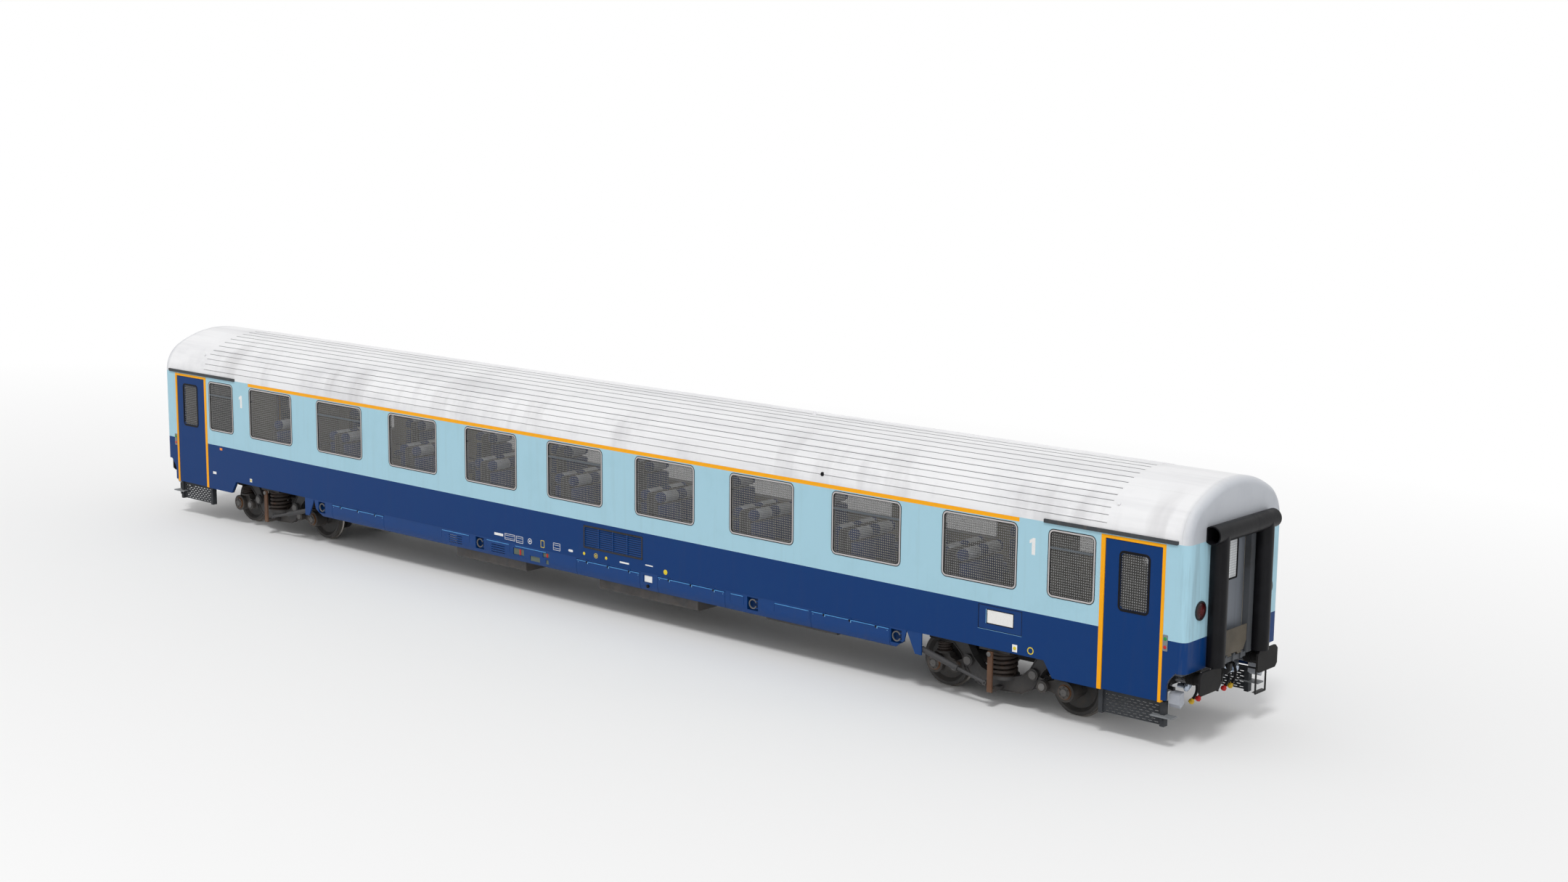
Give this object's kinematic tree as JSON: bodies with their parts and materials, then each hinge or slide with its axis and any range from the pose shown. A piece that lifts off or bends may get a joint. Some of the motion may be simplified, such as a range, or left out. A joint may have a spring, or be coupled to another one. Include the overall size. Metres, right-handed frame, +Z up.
{
  "type": "railway passenger coach",
  "caption": "First-class passenger coach with wide windows, ribbed roof, plug doors at both ends, side skirts with lifting flaps, rubber gangways and two coil-sprung bogies.",
  "frame": {"origin": "on the floor at the foot of the wheel flanges, midway between the ends and the sides", "axes": "+X along the coach to its front end, +Y to its left side, +Z up; the rail head is at z = 0.030 m"},
  "size_m": [26.594, 2.875, 4.125],
  "materials": {
    "roof_paint": "satin white roof paint",
    "side_paint": "gloss pale blue over dark blue",
    "blue_paint": "gloss dark blue",
    "yellow_paint": "gloss warm yellow",
    "dark_grey_paint": "satin dark grey",
    "floor_covering": "dark floor covering",
    "underframe_steel": "matt black, dusty",
    "window_aluminium": "anodised aluminium",
    "window_glass": "clear glass",
    "bronze_grille": "bronze-grey louvres",
    "display_plastic": "dark panel with a blank white display",
    "black_rubber": "matt black rubber",
    "dark_steel": "dark oiled steel",
    "lamp_red": "dark red lens",
    "hose_coupling": "red or yellow enamel",
    "seat_fabric": "blue upholstery with pale head covers",
    "interior_panel": "pale laminate",
    "rack_aluminium": "satin aluminium",
    "underfloor_grey": "grey sheet steel, dusty",
    "grey_door": "grey paint",
    "tread_plate": "worn tread plate",
    "bogie_paint": "dark grey with rusty edges",
    "spring_steel": "dark spring steel",
    "wheel_steel": "rolled steel, bright tread"
  },
  "bodies": {
    "coach_body": {"roof": "roof_paint", "gutters": "dark_grey_paint", "side_wall_left": "side_paint", "side_wall_right": "side_paint", "end_wall_front": "side_paint", "end_wall_rear": "side_paint", "floor": "floor_covering", "underframe": "underframe_steel", "window_frames": "window_aluminium", "window_glass": "window_glass", "door_surrounds": "yellow_paint", "entrance_doors": "blue_paint", "door_steps": "dark_grey_paint", "skirt_left": "blue_paint", "skirt_right": "blue_paint", "ventilation_grilles": "bronze_grille", "display_panels": "display_plastic", "gangway_tubes": "black_rubber", "buffers": "dark_steel", "draw_gear": "dark_steel", "tail_lamps": "lamp_red", "end_fittings": "dark_steel", "hose_heads": "hose_coupling", "seats": "seat_fabric", "partitions": "interior_panel", "luggage_racks": "rack_aluminium", "underfloor_equipment": "underfloor_grey", "yaw_dampers": "dark_steel", "brake_hose_front_1": "black_rubber", "brake_hose_front_2": "black_rubber", "brake_hose_front_3": "black_rubber", "brake_hose_front_4": "black_rubber", "brake_hose_rear_1": "black_rubber", "brake_hose_rear_2": "black_rubber", "brake_hose_rear_3": "black_rubber", "brake_hose_rear_4": "black_rubber"},
    "bogie_front": {"bogie_frame_front": "bogie_paint", "bogie_swing_arms_front": "bogie_paint", "bogie_coil_springs_front": "spring_steel", "bogie_brake_gear_front": "bogie_paint"},
    "wheelset_front_1": {"wheelset_front_1": "wheel_steel"},
    "wheelset_front_2": {"wheelset_front_2": "wheel_steel"},
    "end_door_front": {"end_door_front": "grey_door"},
    "bridge_plate_front": {"bridge_plate_front": "tread_plate"},
    "bogie_rear": {"bogie_frame_rear": "bogie_paint", "bogie_swing_arms_rear": "bogie_paint", "bogie_coil_springs_rear": "spring_steel", "bogie_brake_gear_rear": "bogie_paint"},
    "wheelset_rear_1": {"wheelset_rear_1": "wheel_steel"},
    "wheelset_rear_2": {"wheelset_rear_2": "wheel_steel"},
    "end_door_rear": {"end_door_rear": "grey_door"},
    "bridge_plate_rear": {"bridge_plate_rear": "tread_plate"},
    "skirt_flap_1_right": {"skirt_flap_1_right": "blue_paint"},
    "skirt_flap_2_right": {"skirt_flap_2_right": "blue_paint"},
    "skirt_flap_3_right": {"skirt_flap_3_right": "blue_paint"},
    "skirt_flap_4_right": {"skirt_flap_4_right": "blue_paint"},
    "skirt_flap_1_left": {"skirt_flap_1_left": "blue_paint"},
    "skirt_flap_2_left": {"skirt_flap_2_left": "blue_paint"},
    "skirt_flap_3_left": {"skirt_flap_3_left": "blue_paint"},
    "skirt_flap_4_left": {"skirt_flap_4_left": "blue_paint"}
  },
  "joints": [
    {"name": "bogie_front_turn", "type": "hinge", "parent": "coach_body", "child": "bogie_front", "pos_m": [9.5, 0, 0.63], "axis": [0, 0, 1], "range_deg": [-4, 4]},
    {"name": "wheelset_front_1_spin", "type": "hinge", "parent": "bogie_front", "child": "wheelset_front_1", "pos_m": [10.78, 0, 0.49], "axis": [0, 1, 0], "continuous": true},
    {"name": "wheelset_front_2_spin", "type": "hinge", "parent": "bogie_front", "child": "wheelset_front_2", "pos_m": [8.22, 0, 0.49], "axis": [0, 1, 0], "continuous": true},
    {"name": "end_door_front_slide", "type": "slide", "parent": "coach_body", "child": "end_door_front", "axis": [0, 1, 0], "range_m": [0, 0.82]},
    {"name": "bridge_plate_front_fold", "type": "hinge", "parent": "coach_body", "child": "bridge_plate_front", "pos_m": [13.084, 0, 1.312], "axis": [0, 1, 0], "range_deg": [0, 90]},
    {"name": "bogie_rear_turn", "type": "hinge", "parent": "coach_body", "child": "bogie_rear", "pos_m": [-9.5, 0, 0.63], "axis": [0, 0, 1], "range_deg": [-4, 4]},
    {"name": "wheelset_rear_1_spin", "type": "hinge", "parent": "bogie_rear", "child": "wheelset_rear_1", "pos_m": [-10.78, 0, 0.49], "axis": [0, 1, 0], "continuous": true},
    {"name": "wheelset_rear_2_spin", "type": "hinge", "parent": "bogie_rear", "child": "wheelset_rear_2", "pos_m": [-8.22, 0, 0.49], "axis": [0, 1, 0], "continuous": true},
    {"name": "end_door_rear_slide", "type": "slide", "parent": "coach_body", "child": "end_door_rear", "axis": [0, 1, 0], "range_m": [0, 0.82]},
    {"name": "bridge_plate_rear_fold", "type": "hinge", "parent": "coach_body", "child": "bridge_plate_rear", "pos_m": [-13.084, 0, 1.312], "axis": [0, -1, 0], "range_deg": [0, 90]},
    {"name": "skirt_flap_1_right_lift", "type": "hinge", "parent": "coach_body", "child": "skirt_flap_1_right", "pos_m": [-6.39, -1.4165, 0.9885], "axis": [-1, 0, 0], "range_deg": [0, 95]},
    {"name": "skirt_flap_2_right_lift", "type": "hinge", "parent": "coach_body", "child": "skirt_flap_2_right", "pos_m": [0.865, -1.4165, 0.9885], "axis": [-1, 0, 0], "range_deg": [0, 95]},
    {"name": "skirt_flap_3_right_lift", "type": "hinge", "parent": "coach_body", "child": "skirt_flap_3_right", "pos_m": [2.96, -1.4165, 0.9885], "axis": [-1, 0, 0], "range_deg": [0, 95]},
    {"name": "skirt_flap_4_right_lift", "type": "hinge", "parent": "coach_body", "child": "skirt_flap_4_right", "pos_m": [6.6125, -1.4165, 0.9885], "axis": [-1, 0, 0], "range_deg": [0, 95]},
    {"name": "skirt_flap_1_left_lift", "type": "hinge", "parent": "coach_body", "child": "skirt_flap_1_left", "pos_m": [-6.39, 1.4165, 0.9885], "axis": [1, 0, 0], "range_deg": [0, 95]},
    {"name": "skirt_flap_2_left_lift", "type": "hinge", "parent": "coach_body", "child": "skirt_flap_2_left", "pos_m": [0.865, 1.4165, 0.9885], "axis": [1, 0, 0], "range_deg": [0, 95]},
    {"name": "skirt_flap_3_left_lift", "type": "hinge", "parent": "coach_body", "child": "skirt_flap_3_left", "pos_m": [2.96, 1.4165, 0.9885], "axis": [1, 0, 0], "range_deg": [0, 95]},
    {"name": "skirt_flap_4_left_lift", "type": "hinge", "parent": "coach_body", "child": "skirt_flap_4_left", "pos_m": [6.6125, 1.4165, 0.9885], "axis": [1, 0, 0], "range_deg": [0, 95]}
  ]
}
